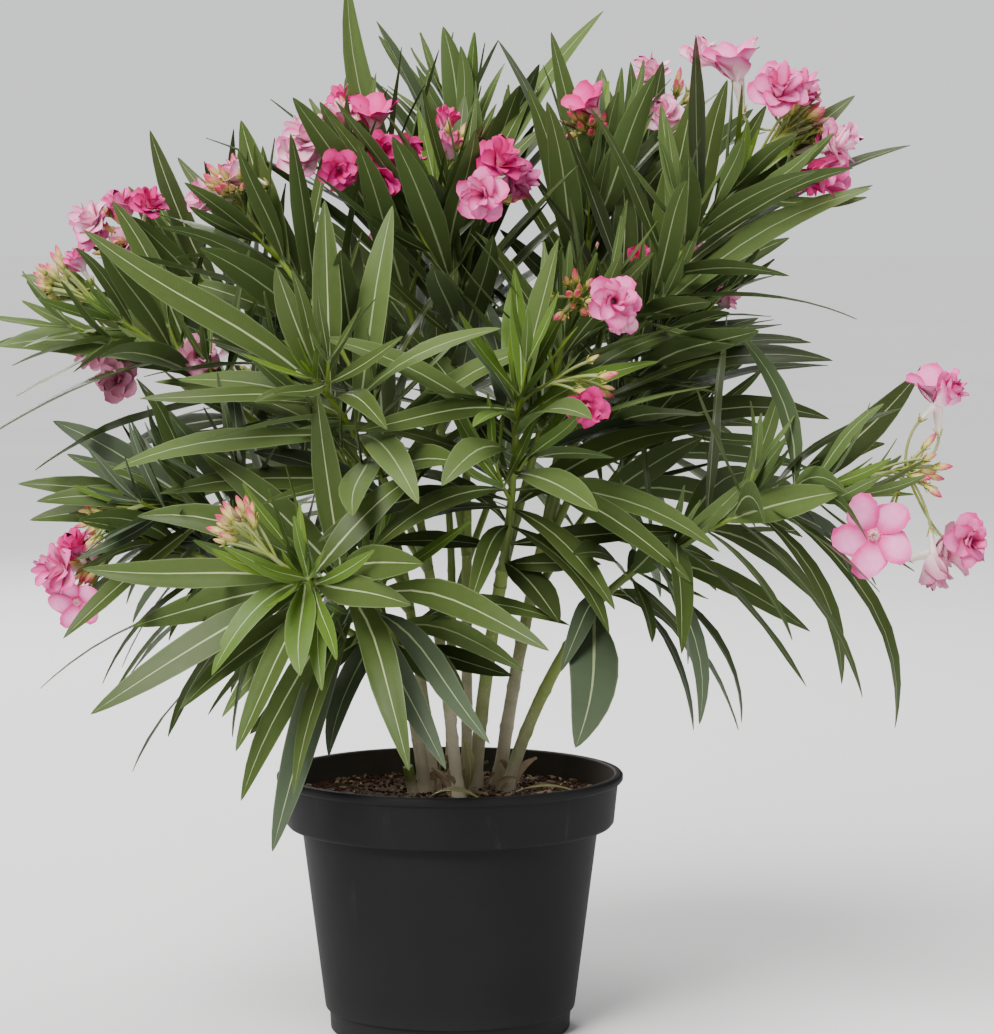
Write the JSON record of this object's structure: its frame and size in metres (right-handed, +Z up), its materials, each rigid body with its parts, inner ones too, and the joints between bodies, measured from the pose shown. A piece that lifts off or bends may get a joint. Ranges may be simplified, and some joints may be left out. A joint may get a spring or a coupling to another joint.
{
  "type": "potted oleander",
  "caption": "Flowering evergreen shrub of slender canes with whorls of narrow leaves and pink blossom, growing in a round black nursery pot",
  "frame": {"origin": "centre of the pot's flat underside, on the ground", "axes": "+Z up, +X to the right and +Y to the back as seen from the side with the most blossom; +Z is also the longest extent"},
  "size_m": [0.5929, 0.5056, 0.6364],
  "materials": {
    "pot_plastic": "moulded black plastic, faintly satin",
    "potting_mix": "moist dark brown bark and peat",
    "cane_bark": "smooth grey-beige to olive bark",
    "green_wood": "smooth green young bark",
    "foliage": "leathery green leaves with pale midribs, pink blossom"
  },
  "bodies": {
    "root": {"bough_back_centre": "green_wood", "bough_back_left": "green_wood", "bough_back_low_left": "green_wood", "bough_back_low_right": "green_wood", "bough_back_right": "green_wood", "bough_back_top_right": "green_wood", "bough_centre_high": "green_wood", "bough_far_left": "green_wood", "bough_left_up": "green_wood", "bough_low_left": "green_wood", "bough_mid_left": "green_wood", "bough_mid_left_tip": "green_wood", "bough_right_mid": "green_wood", "bough_top_back": "green_wood", "bough_top_left": "green_wood", "bough_top_mid": "green_wood", "bough_top_mid_right": "green_wood", "bough_top_right": "green_wood", "cane_back": "cane_bark", "cane_back_left": "cane_bark", "cane_centre": "cane_bark", "cane_left": "cane_bark", "cane_mid_left": "cane_bark", "cane_mid_right": "cane_bark", "cane_rear": "cane_bark", "cane_right": "cane_bark", "foliage_back_centre": "foliage", "foliage_back_left": "foliage", "foliage_back_low_left": "foliage", "foliage_back_low_right": "foliage", "foliage_back_right": "foliage", "foliage_back_top_right": "foliage", "foliage_centre": "foliage", "foliage_centre_high": "foliage", "foliage_far_left": "foliage", "foliage_front_left": "foliage", "foliage_left_up": "foliage", "foliage_low_left": "foliage", "foliage_mid_left": "foliage", "foliage_mid_left_tip": "foliage", "foliage_right_low": "foliage", "foliage_right_mid": "foliage", "foliage_top_back": "foliage", "foliage_top_left": "foliage", "foliage_top_mid": "foliage", "foliage_top_mid_right": "foliage", "foliage_top_right": "foliage", "pot": "pot_plastic", "soil": "potting_mix"}
  },
  "joints": []
}
